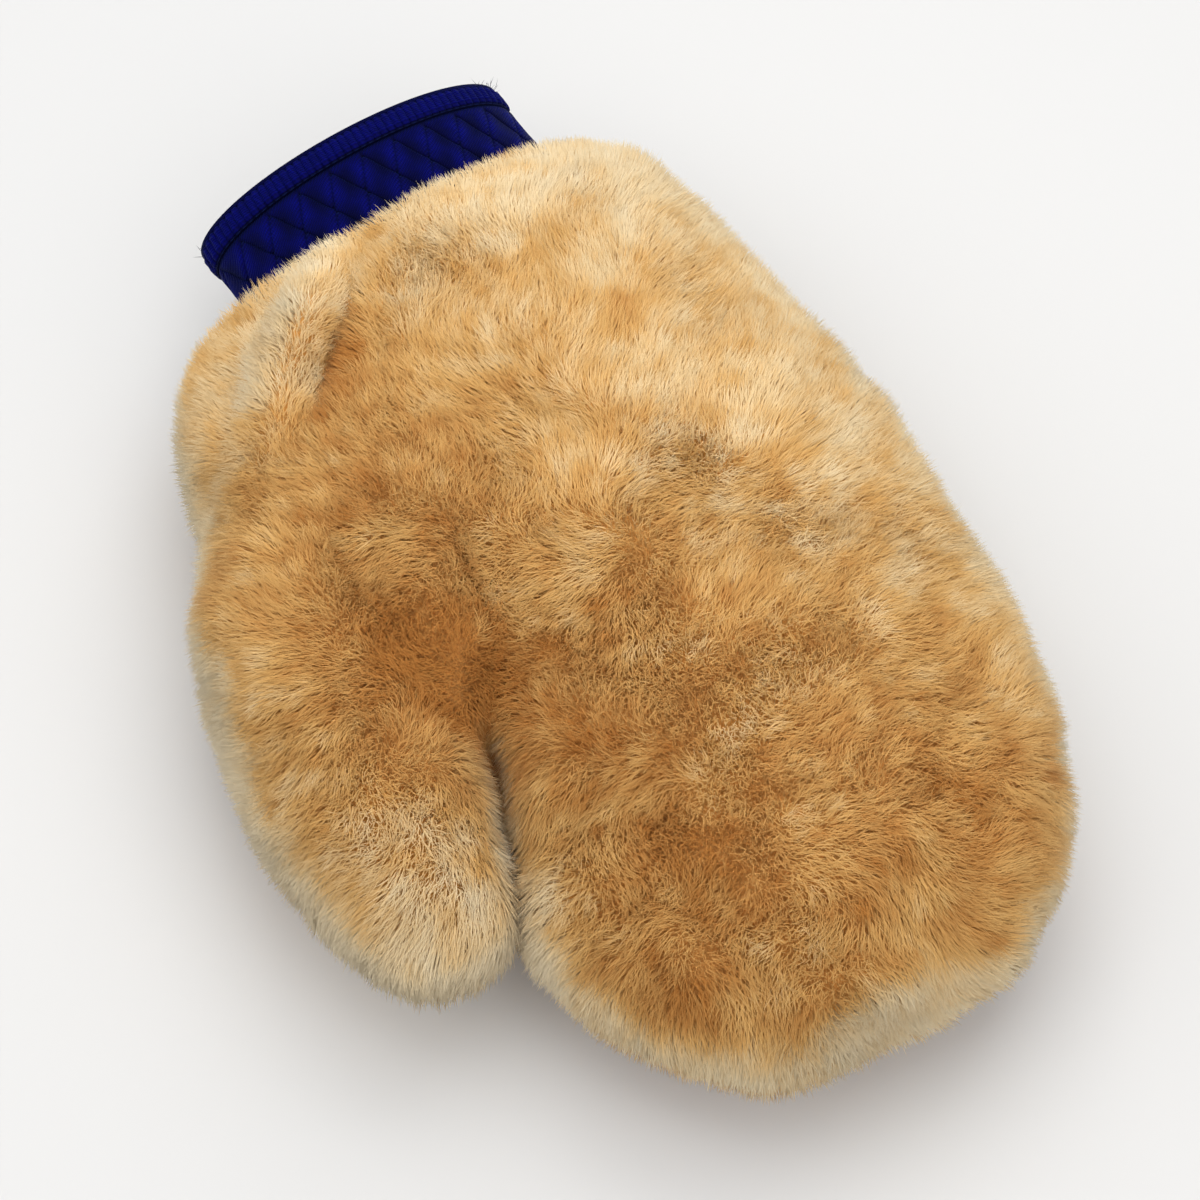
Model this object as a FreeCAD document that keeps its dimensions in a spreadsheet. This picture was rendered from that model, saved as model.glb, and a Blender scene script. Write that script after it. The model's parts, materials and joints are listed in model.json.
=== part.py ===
import FreeCAD, Part

import os

import Sketcher

# A sheepskin wash mitt with a thumb and a woven elastic cuff, lying palm down.
# +Z is up, the fingers point to -Y, the cuff to +Y and the thumb is on the -X side.
# The origin is under the middle of the mitt, on the surface that it lies on.
# Each panel is a hide with its wool pile outwards. The hide alone lines the hollow for the hand.

os.makedirs("parts", exist_ok=True)
doc = FreeCAD.newDocument("WashMitt")
sheet = doc.addObject("Spreadsheet::Sheet", "sheet")

# Driving sizes in millimetres and degrees.
DRIVING = {
    "seam_height": 36.0,          # height of the seam between the back and palm panels
    "hide_thick": 1.6,            # tanned hide
    "seam_width": 1.6,            # height of the overlocked thread between the panels
    "fold_place": -34.0,          # knuckle fold, along Y
    "fold_height": 34.0,          # height of the knuckle fold's axis
    "palm_fold": 45.0,            # fingers fold towards the palm
    "back_fold": 15.0,            # fingers fold towards the back
    "crease_place": -45.0,        # crease between the thumb and the fingers, along X
    "crease_gap": 1.0,
    "thumb_spread": 25.0,         # the thumb opens away from the fingers
    "thumb_root_slope": 23.0,     # slope of the hand's edge at the thumb's root
    "fold_clear": 0.4,            # what stays open at the end of each fold
    "wrist_place": 93.6,          # where the hides end, along Y
    "cuff_turn": 8.0,             # the cuff's mouth looks slightly towards the thumb
    "cuff_shift": 8.4,            # the cuff's middle at the wrist, along X
    "cuff_gap": 8.5,              # room for the cuff to flex at the wrist
    "cuff_half_width": 46.5,
    "cuff_half_height": 19.0,
    "web_thick": 1.6,             # woven elastic webbing
    "web_height": 38.0,           # 1.5 inch webbing
    "rib_height": 8.0,            # ribbed edge at the mouth
    "rib_thick": 2.2,
    "thread_thick": 0.7,
    "thread_height": 0.9,
    "row_start": 1.5,             # from the webbing's end to the first stitch row
    "row_pitch": 5.0,             # between the two stitch rows that hold the cuff
    "side_stitch_width": 5.0,     # zigzag stitching at each side of the cuff
    "tack_width": 9.0,            # bar tack at the crotch of the thumb
    "tack_depth": 8.0,
    "tack_height": 2.4,
    "tack_place": -14.0,
    "reach": 250.0,               # longer than the mitt, for cutting planes
    "below": -10.0,               # under everything, for cutting planes
    "above": 110.0,               # over everything
}
# Sections of the outer wool surface: place along Y, middle along X, half width, half height, pile,
# and how much of the pile's depth the inner layers draw back by there, towards the wrist.
HAND = [
    ("wrist", "wrist_place", "cuff_shift", 62.0, 33.0, 14.0, 0.1),
    ("shoulder", 78.0, 3.0, 76.0, 36.0, 16.0, 0.0),
    ("palm", 52.0, 1.5, 85.0, 38.5, 18.0, 0.0),
    ("middle", 14.0, 11.0, 87.0, 39.0, 18.0, 0.0),
    ("knuckle", -24.0, 25.0, 75.5, 38.5, 18.0, 0.0),
    ("finger", -62.0, 28.0, 72.0, 37.5, 18.0, 0.1),
    ("fingernail", -102.0, 25.0, 68.5, 36.0, 18.0, 0.35),
    ("fingertip", -134.0, 21.0, 50.0, 31.0, 18.0, 0.75),
    ("brim", -147.0, 18.0, 24.0, 22.0, 18.0, 1.0),
]
THUMB = [
    ("heel", 58.0, -42.0, 38.0, 34.0, 18.0, 0.1),
    ("ball", 18.0, -57.5, 37.0, 35.0, 18.0, 0.0),
    ("root", -16.0, -66.0, 34.0, 33.5, 16.0, 0.1),
    ("joint", -46.0, -69.5, 30.5, 30.0, 14.0, 0.35),
    ("nail", -73.0, -68.0, 25.5, 25.0, 13.0, 0.75),
    ("edge", -91.0, -66.0, 17.5, 17.0, 11.0, 1.0),
]
# How far each surface lies inside the wool: the wool itself, the hide's outside, the hollow.
DEPTH = {"wool": (0.0, 0.0), "hide": (1.0, 0.0), "hollow": (1.0, 1.0)}

row = 0


def put(alias, value):
    """Write one driving value into the next free cell."""
    global row
    row += 1
    sheet.set(f"A{row}", alias)
    sheet.set(f"B{row}", str(value))
    sheet.setAlias(f"B{row}", alias)


for alias, value in DRIVING.items():
    put(alias, value)
for part_name, sections in (("hand", HAND), ("thumb", THUMB)):
    for name, place, middle, half_width, half_height, pile, drawn in sections:
        stem = f"{part_name}_{name}"
        if not isinstance(place, str):
            put(f"{stem}_place", place)
            put(f"{stem}_middle", middle)
        put(f"{stem}_half_width", half_width)
        put(f"{stem}_half_height", half_height)
        put(f"{stem}_pile", pile)
        put(f"{stem}_drawn", drawn)
doc.recompute()


def cell(name):
    return f"sheet.{name}"


def oval(name, half_width, half_height, place, middle, height, turn="0"):
    """One upright oval section across the mitt, bound to the sheet."""
    ring = doc.addObject("Part::Ellipse", name)
    ring.setExpression("MajorRadius", half_width)
    ring.setExpression("MinorRadius", half_height)
    ring.setExpression(
        "Placement",
        f"placement(vector({middle}; {place}; {height}); "
        f"rotation(vector(0; 0; 1); {turn}) * rotation(vector(1; 0; 0); 90))",
    )
    return ring


def skin(part_name, sections, layer):
    """The closed surface of one layer of the hand or the thumb, lofted through its ovals."""
    piles, hides = DEPTH[layer]
    rings = []
    for name, place, middle, *_ in sections:
        stem = f"{part_name}_{name}"
        inset = f"({piles} * {cell(stem + '_pile')} + {hides} * {cell('hide_thick')})"
        named = isinstance(place, str)
        where = cell(place) if named else cell(f"{stem}_place")
        across = cell(middle) if named else cell(f"{stem}_middle")
        turn = cell("cuff_turn") if named else "0"
        where = f"{where} + {cell(stem + '_drawn')} * {inset}"
        rings.append(
            oval(
                f"{stem}_{layer}",
                f"{cell(stem + '_half_width')} - {inset}",
                f"{cell(stem + '_half_height')} - {inset}",
                where,
                across,
                cell("seam_height"),
                turn,
            )
        )
    loft = doc.addObject("Part::Loft", f"{part_name}_{layer}_skin")
    loft.Sections = rings
    loft.Solid = True
    loft.Ruled = False
    return loft


def boolean(kind, name, base, tool):
    made = doc.addObject(f"Part::{kind}", name)
    made.Base = base
    made.Tool = tool
    return made


def profile(name, corners, plane):
    """A closed straight-sided sketch whose corners are bound to the sheet."""
    sketch = doc.addObject("Sketcher::SketchObject", name)
    sketch.Placement = plane
    points = [FreeCAD.Vector(10 * i, 10 * (i % 3) + i, 0) for i in range(len(corners))]
    for i, point in enumerate(points):
        sketch.addGeometry(Part.LineSegment(point, points[(i + 1) % len(points)]), False)
    for i in range(len(points)):
        after = (i + 1) % len(points)
        sketch.addConstraint(Sketcher.Constraint("Coincident", i, 2, after, 1))
    for i, corner in enumerate(corners):
        for axis, value in zip(("DistanceX", "DistanceY"), corner):
            at = sketch.addConstraint(Sketcher.Constraint(axis, -1, 1, i, 1, 1.0))
            sketch.setExpression(f"Constraints[{at}]", value)
    return sketch


def prism(name, corners, plane, direction, start, length):
    """The sketch pushed along a direction, from start, for length."""
    sketch = profile(f"{name}_outline", corners, plane)
    made = doc.addObject("Part::Extrusion", name)
    made.Base = sketch
    made.DirMode = "Custom"
    made.Dir = direction
    made.setExpression("LengthRev", f"-({start})")
    made.setExpression("LengthFwd", f"({start}) + ({length})")
    made.Solid = True
    return made


# Sketch planes: one seen from the side (its x along Y, its y along Z), one seen from above.
SIDE = FreeCAD.Placement(FreeCAD.Vector(), FreeCAD.Rotation(FreeCAD.Vector(1, 1, 1), 120))
ABOVE = FreeCAD.Placement()
ALONG_X = FreeCAD.Vector(1, 0, 0)
ALONG_Z = FreeCAD.Vector(0, 0, 1)


def knuckle_cut(name, side):
    """Everything beyond the knuckle fold. Half of each fold's wedge is on either side of it."""
    sign = "-1" if side == "fingers" else "1"
    clear = cell("fold_clear")
    fold = f"({cell('fold_place')} + {sign} * {clear} / 2)"
    axis = cell("fold_height")
    reach = cell("reach")
    below = cell("below")
    above = cell("above")
    low = f"{fold} + {sign} * tan({cell('palm_fold')} / 2) * ({axis} - {below})"
    high = f"{fold} + {sign} * tan({cell('back_fold')} / 2) * ({above} - {axis})"
    corners = [
        (fold, axis),
        (low, below),
        (f"-{reach}", below),
        (f"-{reach}", above),
        (high, above),
    ]
    start = cell("crease_place")
    if side == "fingers":
        start = f"{start} + {cell('crease_gap')} / 2"
    return prism(name, corners, SIDE, ALONG_X, start, reach)


def thumb_cut(name, side):
    """Everything beyond the thumb's root, seen from above. The fold's wedge opens outwards."""
    clear = cell("fold_clear")
    reach = cell("reach")
    crease = cell("crease_place")
    slope = f"-{cell('thumb_root_slope')}"
    if side == "thumb":
        crease = f"{crease} - {cell('crease_gap')} / 2"
        slope = f"{slope} + {cell('thumb_spread')}"
        root = f"({cell('fold_place')} - {clear})"
    else:
        root = cell("fold_place")
    corners = [
        (crease, root),
        (f"{crease} - {reach}", f"{root} - tan({slope}) * {reach}"),
        (f"{crease} - {reach}", f"-{reach}"),
        (crease, f"-{reach}"),
    ]
    height = f"{cell('above')} - {cell('below')}"
    return prism(name, corners, ABOVE, ALONG_Z, cell("below"), height)


# The layers of the hand and the thumb, each a closed body.
skins = {}
for layer in DEPTH:
    skins["hand", layer] = skin("hand", HAND, layer)
    skins["thumb", layer] = skin("thumb", THUMB, layer)
    skins["both", layer] = boolean(
        "Fuse", f"whole_{layer}_skin", skins["hand", layer], skins["thumb", layer]
    )

# The zones that each moving section of the mitt takes.
zone_fingers = knuckle_cut("fingers_zone", "fingers")
beyond_hand = boolean(
    "Fuse", "beyond_hand", knuckle_cut("beyond_knuckles", "hand"), thumb_cut("beyond_thumb", "hand")
)
zone_thumb = thumb_cut("thumb_zone", "thumb")


def slab(name, low, high):
    """A level slab that parts the back panels, the palm panels or the seam between them."""
    made = doc.addObject("Part::Box", name)
    reach = cell("reach")
    made.setExpression("Length", f"2 * {reach}")
    made.setExpression("Width", f"2 * {reach}")
    made.setExpression("Height", f"({high}) - ({low})")
    made.setExpression("Placement.Base.x", f"-{reach}")
    made.setExpression("Placement.Base.y", f"-{reach}")
    made.setExpression("Placement.Base.z", low)
    return made


seam = cell("seam_height")
half = f"{cell('seam_width')} / 2"
slabs = {
    ("back", "hide"): slab("above_seam", f"{seam} + {half}", cell("above")),
    ("palm", "hide"): slab("below_seam", "0", f"{seam} - {half}"),
    ("back", "wool"): slab("upper_half", seam, cell("above")),
    ("palm", "wool"): slab("lower_half", "0", seam),
    ("seam", "hide"): slab("seam_slab", f"{seam} - {half}", f"{seam} + {half}"),
}

nodes = []


def keep(piece, label):
    piece.Label = label
    nodes.append(piece)
    return piece


def section_layer(section, layer, inner):
    """One layer of one moving section, as an open shell between two skins."""
    source = "both" if section == "hand" else ("hand" if section == "fingers" else "thumb")
    shell = boolean(
        "Cut", f"{section}_{layer}_shell", skins[source, layer], skins[source, inner]
    )
    if section == "hand":
        return boolean("Cut", f"{section}_{layer}_zone", shell, beyond_hand)
    zone = zone_fingers if section == "fingers" else zone_thumb
    return boolean("Common", f"{section}_{layer}_zone", shell, zone)


# The bar tack that closes the crotch, in the corner where the two hides part.
tack_block = doc.addObject("Part::Box", "tack_block")
tack_block.setExpression("Length", cell("tack_width"))
tack_block.setExpression("Width", cell("tack_depth"))
tack_block.setExpression("Height", cell("tack_height"))
tack_block.setExpression("Placement.Base.x", f"{cell('crease_place')} - {cell('tack_width')} / 2")
tack_block.setExpression("Placement.Base.y", cell("tack_place"))
tack_block.setExpression("Placement.Base.z", f"{seam} - {cell('tack_height')} / 2")
tack = boolean("Cut", "tack", tack_block, skins["both", "hide"])
keep(tack, "crotch_bar_tack")

for section in ("hand", "fingers", "thumb"):
    wool = section_layer(section, "wool", "hide")
    if section == "hand":
        wool = boolean("Cut", "wool_round_the_tack", wool, tack_block)
    hide = section_layer(section, "hide", "hollow")
    for panel in ("back", "palm"):
        keep(
            boolean("Common", f"{panel}_wool_of_{section}", wool, slabs[panel, "wool"]),
            f"{panel}_fleece_{section}",
        )
        keep(
            boolean("Common", f"{panel}_hide_of_{section}", hide, slabs[panel, "hide"]),
            f"{panel}_hide_{section}",
        )
    seam_ring = boolean("Common", f"{section}_seam_ring", hide, slabs["seam", "hide"])
    if section != "hand":
        keep(seam_ring, f"seam_thread_{section}")
        continue
    right = slab("right_side", "0", cell("above"))
    right.setExpression("Placement.Base.x", cell("cuff_shift"))
    keep(boolean("Common", "seam_on_the_right", seam_ring, right), "seam_thread_little_finger_side")
    keep(boolean("Cut", "seam_on_the_left", seam_ring, right), "seam_thread_thumb_side")


# The cuff: two lengths of webbing, back and palm, sewn together at the mitt's sides.
def tube(name, grow, wall, start, length):
    """An oval tube round the cuff's axis, from start (past the wrist's end) for length."""
    turn = cell("cuff_turn")
    made = []
    for part_name, extra in (("outer", f"{grow}"), ("inner", f"{grow} - ({wall})")):
        ring = oval(
            f"{name}_{part_name}_oval",
            f"{cell('cuff_half_width')} + {extra}",
            f"{cell('cuff_half_height')} + {extra}",
            f"{cell('wrist_place')} + cos({turn}) * ({start})",
            f"{cell('cuff_shift')} - sin({turn}) * ({start})",
            seam,
            turn,
        )
        push = doc.addObject("Part::Extrusion", f"{name}_{part_name}")
        push.Base = ring
        push.DirMode = "Normal"
        push.setExpression("LengthFwd", length)
        push.Solid = True
        made.append(push)
    return boolean("Cut", f"{name}_tube", *made)


web = cell("web_thick")
gap = cell("cuff_gap")
rib = cell("rib_height")
thread = cell("thread_thick")
plain_height = f"{cell('web_height')} - {rib}"
band = tube("band", "0", web, gap, plain_height)
ribbed = tube("ribbed", f"{cell('rib_thick')} - {web}", cell("rib_thick"), f"{gap} + {plain_height}", rib)

# Each side of the cuff is sewn through: a block there parts the stitching from the webbing.
side_half = f"{cell('side_stitch_width')} / 2"
side_slab = slab("side_stitch_slab", f"{seam} - {side_half}", f"{seam} + {side_half}")
stitched = tube("stitched", f"{thread}", thread, gap, plain_height)
side_threads = boolean("Common", "side_threads", stitched, side_slab)
cuff_right = slab("cuff_right_side", "0", cell("above"))
cuff_right.setExpression("Placement.Base.x", cell("cuff_shift"))

for panel in ("back", "palm"):
    half_slab = slabs[panel, "wool"]
    keep(boolean("Common", f"{panel}_band", band, half_slab), f"cuff_webbing_{panel}")
    keep(boolean("Common", f"{panel}_ribs", ribbed, half_slab), f"cuff_ribbed_edge_{panel}")
keep(boolean("Common", "right_threads", side_threads, cuff_right), "cuff_stitches_little_finger_side")
keep(boolean("Cut", "left_threads", side_threads, cuff_right), "cuff_stitches_thumb_side")

# Two rows of thread hold the cuff to the hides. They stop short of the side stitching.
rows = []
for count in range(2):
    start = f"{gap} + {cell('row_start')} + {count} * {cell('row_pitch')}"
    ring = tube(f"row_{count + 1}", thread, thread, start, cell("thread_height"))
    rows.append(boolean("Cut", f"row_{count + 1}_open", ring, side_slab))
both_rows = boolean("Fuse", "both_rows", *rows)
keep(both_rows, "cuff_stitch_rows")

doc.recompute()

faults = [o.Name for o in doc.Objects if {"Invalid", "Error"} & set(o.State)]
if faults:
    raise RuntimeError(f"objects that failed: {faults}")
for piece in nodes:
    shape = piece.Shape
    if shape.isNull() or not shape.isValid() or shape.Volume <= 0:
        raise RuntimeError(f"{piece.Label} has no valid shape")
for piece in nodes:
    box = piece.Shape.BoundBox
    print(
        f"{piece.Label:34s} solids {len(piece.Shape.Solids)}  cm3 {piece.Shape.Volume / 1000:8.2f}  "
        f"x {box.XMin:7.1f} {box.XMax:7.1f}  y {box.YMin:7.1f} {box.YMax:7.1f}  z {box.ZMin:6.1f} {box.ZMax:6.1f}"
    )
    piece.Shape.exportStep(os.path.join("parts", f"{piece.Label}.step"))
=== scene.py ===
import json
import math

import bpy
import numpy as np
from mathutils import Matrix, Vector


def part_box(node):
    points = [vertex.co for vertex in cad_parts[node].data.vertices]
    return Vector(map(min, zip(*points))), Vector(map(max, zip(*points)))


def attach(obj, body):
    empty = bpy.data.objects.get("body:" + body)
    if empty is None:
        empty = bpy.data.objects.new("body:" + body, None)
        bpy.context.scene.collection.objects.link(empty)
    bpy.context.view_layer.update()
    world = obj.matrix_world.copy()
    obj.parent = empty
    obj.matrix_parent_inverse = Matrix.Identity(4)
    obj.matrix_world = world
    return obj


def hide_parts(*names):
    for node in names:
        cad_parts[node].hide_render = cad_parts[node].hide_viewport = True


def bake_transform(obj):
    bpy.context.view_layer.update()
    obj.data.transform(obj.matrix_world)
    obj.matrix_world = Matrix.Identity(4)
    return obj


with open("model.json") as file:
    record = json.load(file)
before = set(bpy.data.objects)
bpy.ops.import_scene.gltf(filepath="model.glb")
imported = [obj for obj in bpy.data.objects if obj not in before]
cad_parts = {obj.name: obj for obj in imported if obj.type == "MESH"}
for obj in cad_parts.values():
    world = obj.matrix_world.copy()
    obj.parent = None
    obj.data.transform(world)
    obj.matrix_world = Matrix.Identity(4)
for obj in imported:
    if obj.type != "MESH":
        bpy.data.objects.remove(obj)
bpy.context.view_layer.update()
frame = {"nodes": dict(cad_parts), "record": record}

# %% [markdown]
# # A sheepskin wash mitt
# The real mitt is two layers of tanned sheepskin, wool outwards, sewn round the edge into a hand and
# a thumb, with a woven elastic cuff at the wrist. The frame gives the place of every sewn part, in
# metres: the fingers point to -Y, the cuff to +Y, and the mitt lies on Z = 0. The looks are built
# round it: a soft body of underwool, a quarter of a million locks of wool that grow from it, the
# suede inside, and the cuff.

MM = 0.001
SEAM_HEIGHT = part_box("seam_thread_fingers")[0][2] + 0.8 * MM
JOINTS = {joint["name"]: joint for joint in frame["record"]["behaviour"]["joints"]}
KNUCKLE = Vector(JOINTS["knuckle_fold"]["pos_m"])
WRIST = Vector(JOINTS["wrist_flex"]["pos_m"])
ACROSS_CUFF = Vector(JOINTS["wrist_flex"]["axis"]).normalized()
UP = Vector((0, 0, 1))
OUT_OF_CUFF = UP.cross(ACROSS_CUFF).normalized()
dice = np.random.default_rng(7)
print("seam height", round(SEAM_HEIGHT, 4), "knuckles", KNUCKLE[:], "wrist", WRIST[:])


def deselect():
    bpy.ops.object.select_all(action="DESELECT")


def only(piece):
    """Make one piece the selected, active object."""
    deselect()
    piece.select_set(True)
    bpy.context.view_layer.objects.active = piece


def freeze(piece, modifier):
    """Apply a modifier that was just added."""
    only(piece)
    bpy.ops.object.modifier_apply(modifier=modifier.name)


def edit_all(piece):
    """Open a piece in edit mode with all of it chosen."""
    only(piece)
    bpy.ops.object.mode_set(mode="EDIT")
    bpy.ops.mesh.select_all(action="SELECT")


def stop_editing():
    bpy.ops.object.mode_set(mode="OBJECT")


def add_wall(piece, thickness):
    """Give an open skin a wall on its inner side."""
    wall = piece.modifiers.new("wall", "SOLIDIFY")
    wall.thickness = thickness
    wall.offset = -1
    freeze(piece, wall)


def points_of(piece):
    spots = np.empty(len(piece.data.vertices) * 3)
    piece.data.vertices.foreach_get("co", spots)
    return spots.reshape(-1, 3)


def set_points(piece, spots):
    piece.data.vertices.foreach_set("co", np.asarray(spots).ravel())
    piece.data.update()


def normals_of(piece):
    found = np.empty(len(piece.data.vertices) * 3)
    piece.data.vertices.foreach_get("normal", found)
    return found.reshape(-1, 3)


def ease(value):
    """From 0 to 1 with a soft start and a soft end."""
    clipped = np.clip(value, 0, 1)
    return clipped * clipped * (3 - 2 * clipped)


def unit(rows):
    return rows / np.maximum(np.linalg.norm(rows, axis=-1, keepdims=True), 1e-9)


# %% [markdown]
# ## Camera, floor and light
# The camera looks down at the mitt with the fingers towards it, from a little to the thumb's side,
# through a long lens so that the mitt keeps its proportions. The floor is a plain pale sheet, and
# four soft lamps, three round it and a small one above, give the bright, soft light of a studio
# table, strongest from the cuff and the little finger's side.

# %% Camera
LOOK_DOWN = math.radians(60)
LOOK_TURN = math.radians(26)
DISTANCE = 0.87
AIM = Vector((0.0133, 0.0056, 0.0))
camera_data = bpy.data.cameras.new("camera")
camera_data.lens = 97
camera_data.clip_start = 0.05
camera = bpy.data.objects.new("camera", camera_data)
bpy.context.scene.collection.objects.link(camera)
ahead = Vector(
    (
        math.sin(LOOK_TURN) * math.cos(LOOK_DOWN),
        math.cos(LOOK_TURN) * math.cos(LOOK_DOWN),
        -math.sin(LOOK_DOWN),
    )
)
camera.location = AIM - ahead * DISTANCE
camera.rotation_euler = ahead.to_track_quat("-Z", "Y").to_euler()
bpy.context.scene.camera = camera
print("camera at", [round(value, 3) for value in camera.location])

# %% Floor, backdrop light and lamps
deselect()
bpy.ops.mesh.primitive_plane_add(size=6, location=(0, 0, 0))
floor = bpy.context.object
floor.name = "floor"
paper = bpy.data.materials.new("pale_paper")
paper.use_nodes = True
paper_shader = paper.node_tree.nodes["Principled BSDF"]
paper_shader.inputs["Base Color"].default_value = (0.70, 0.70, 0.695, 1)
paper_shader.inputs["Roughness"].default_value = 0.9
floor.data.materials.append(paper)

world = bpy.data.worlds.new("studio")
world.use_nodes = True
world.node_tree.nodes["Background"].inputs["Color"].default_value = (0.99, 0.99, 1.0, 1)
world.node_tree.nodes["Background"].inputs["Strength"].default_value = 0.62
bpy.context.scene.world = world
bpy.context.scene.view_settings.view_transform = "Standard"


def lamp(name, place, size, power, colour):
    """A square soft box that faces the mitt."""
    data = bpy.data.lights.new(name, "AREA")
    data.size = size
    data.energy = power
    data.color = colour
    box = bpy.data.objects.new(name, data)
    box.location = place
    box.rotation_euler = (-Vector(place)).to_track_quat("-Z", "Y").to_euler()
    bpy.context.scene.collection.objects.link(box)


lamp("key_box", (0.65, 0.75, 1.1), 1.3, 6.5, (1.0, 0.98, 0.95))
lamp("fill_box", (-0.9, 0.2, 1.0), 1.2, 4.0, (1.0, 0.99, 0.98))
lamp("front_box", (0.1, -1.0, 0.9), 1.2, 4.5, (1.0, 0.98, 0.96))
lamp("top_box", (0.05, 0.05, 0.75), 0.6, 2.0, (1.0, 1.0, 1.0))

# %% [markdown]
# ## The mitt's body
# Under the locks lies the underwool: the dense foot of the pile, that gives the mitt its puffy
# form. It could be sculpted from one ball. Here a ball is drawn out over the hand's sections, one
# over the thumb's and one over the web between them, and a voxel remesh joins them, so that they
# grow into each other at the root and stay apart in a crease beside the fingers, as the two sewn
# pockets do.

# %% Sections of the wool's outside: place along Y, middle along X, half width, half height, in mm
HAND = [
    (-149.5, 17.0, 9.0, 8.0),
    (-146.5, 16.5, 25.5, 16.0),
    (-140.0, 16.0, 41.0, 24.0),
    (-128.0, 18.0, 57.0, 31.0),
    (-112.0, 18.5, 68.5, 36.0),
    (-90.0, 19.5, 74.0, 38.0),
    (-60.0, 25.5, 73.0, 39.0),
    (-42.0, 26.0, 70.5, 39.0),
    (-24.0, 24.0, 74.5, 39.0),
    (14.0, 13.5, 84.0, 39.0),
    (52.0, 3.5, 86.0, 39.0),
    (80.0, 3.5, 79.0, 38.0),
    (96.0, 1.5, 76.0, 35.5),
    (105.0, 1.0, 69.5, 31.0),
    (112.0, 2.5, 60.5, 25.5),
    (121.0, 6.0, 47.0, 20.0),
]
THUMB = [
    (-95.0, -69.0, 7.0, 7.0),
    (-90.0, -69.5, 15.0, 14.0),
    (-78.0, -71.0, 22.0, 21.0),
    (-62.0, -71.5, 27.5, 27.5),
    (-42.0, -69.5, 33.5, 33.0),
    (-12.0, -65.5, 36.0, 36.0),
    (20.0, -55.0, 40.5, 37.0),
    (60.0, -40.0, 37.0, 34.0),
]
WEB = [
    (-46.0, -44.0, 7.0, 8.0),
    (-38.0, -44.0, 14.0, 24.0),
    (-30.0, -43.0, 21.0, 33.0),
    (-20.0, -42.0, 28.0, 37.5),
    (-4.0, -41.0, 32.0, 39.0),
    (20.0, -36.0, 40.0, 39.5),
    (55.0, -24.0, 40.0, 36.0),
]
PILE = 7.0 * MM
FULLNESS = 2.2          # 2 is an ellipse, and more is a fuller, squarer oval
COLLAR = 3.0 * MM       # how far the underwool reaches along the cuff


def drawn_ball(name, sections, inset):
    """A ball drawn out along Y through the sections, each a full oval, and inset all round."""
    table = np.array(sections) * MM
    places = table[:, 0].copy()
    places[0] += inset
    places[-1] -= inset
    deselect()
    bpy.ops.mesh.primitive_uv_sphere_add(segments=80, ring_count=64, radius=1)
    ball = bpy.context.object
    ball.name = name
    spots = points_of(ball)
    share = (1 - spots[:, 2]) / 2
    along = places[0] + (places[-1] - places[0]) * share
    angle = np.arctan2(spots[:, 1], spots[:, 0])
    middle = np.interp(along, places, table[:, 1])
    width = np.interp(along, places, np.maximum(table[:, 2] - inset, 2 * MM))
    height = np.interp(along, places, np.maximum(table[:, 3] - inset, 2 * MM))
    off_pole = np.linalg.norm(spots[:, :2], axis=1) > 1e-4
    power = 2 / FULLNESS
    side = np.sign(np.cos(angle)) * np.abs(np.cos(angle)) ** power * off_pole
    lift = np.sign(np.sin(angle)) * np.abs(np.sin(angle)) ** power * off_pole
    set_points(
        ball, np.stack([middle + side * width, along, SEAM_HEIGHT + lift * height], axis=1)
    )
    return ball


def join_and_remesh(name, pieces, voxel, passes):
    """Join closed pieces into one skin of even small faces, and smooth it."""
    only(pieces[0])
    for other in pieces[1:]:
        other.select_set(True)
    bpy.ops.object.join()
    skin = bpy.context.object
    skin.name = name
    edit_all(skin)
    bpy.ops.mesh.normals_make_consistent(inside=False)
    stop_editing()
    remesh = skin.modifiers.new("remesh", "REMESH")
    remesh.mode = "VOXEL"
    remesh.voxel_size = voxel
    freeze(skin, remesh)
    smooth = skin.modifiers.new("smooth", "SMOOTH")
    smooth.iterations = passes
    smooth.factor = 0.5
    freeze(skin, smooth)
    return skin


body = join_and_remesh(
    "body",
    [
        drawn_ball("hand_ball", HAND, PILE),
        drawn_ball("thumb_ball", THUMB, PILE),
        drawn_ball("web_ball", WEB, PILE),
    ],
    2.2 * MM,
    14,
)
print("body", len(body.data.vertices), "points")

# %% [markdown]
# ### Sculpting
# The hand's end is turned with the cuff, then a few dents and swells are pressed into the body: the
# fold below the cuff with its ridge, the hollow above the crease, a small notch at the little
# finger's side, and the slow unevenness of a skin that was cut and sewn by hand. A few bell-shaped
# presses do here what the grab brush does by hand.

# %% Turn the wrist with the cuff, and press the dents and swells
TURN_FROM, TURN_OVER = 50 * MM, 50 * MM
FLOOR_GAP = 2.2 * MM        # the palm's flattened wool fills it
TURN_PART = 0.9             # how much of the cuff's slant the wool's mouth takes up
# Each is X, Y, reach along, reach across, height in mm, and the way that it runs, from X, in degrees.
PRESSES = [
    (-41.0, 73.0, 26.0, 5.0, 5.5, 50),
    (-33.0, 68.0, 23.0, 4.0, -7.5, 52),
    (-25.0, 62.0, 20.0, 9.0, -2.5, 52),
    (-9.0, 94.0, 9.0, 6.0, -3.0, 30),
    (-50.0, -30.0, 20.0, 20.0, -2.0, 0),
    (-43.0, -52.0, 15.0, 4.5, -7.0, 75),
    (92.0, 10.0, 8.0, 5.0, -3.0, 0),
    (42.0, 74.0, 20.0, 8.0, -1.2, 20),
    (66.0, 60.0, 14.0, 8.0, -1.0, 70),
    (10.0, 22.0, 12.0, 5.0, -2.0, 100),
    (-4.0, -9.0, 9.0, 4.0, -2.5, 130),
    (40.0, -70.0, 30.0, 24.0, 1.5, 0),
]


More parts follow.
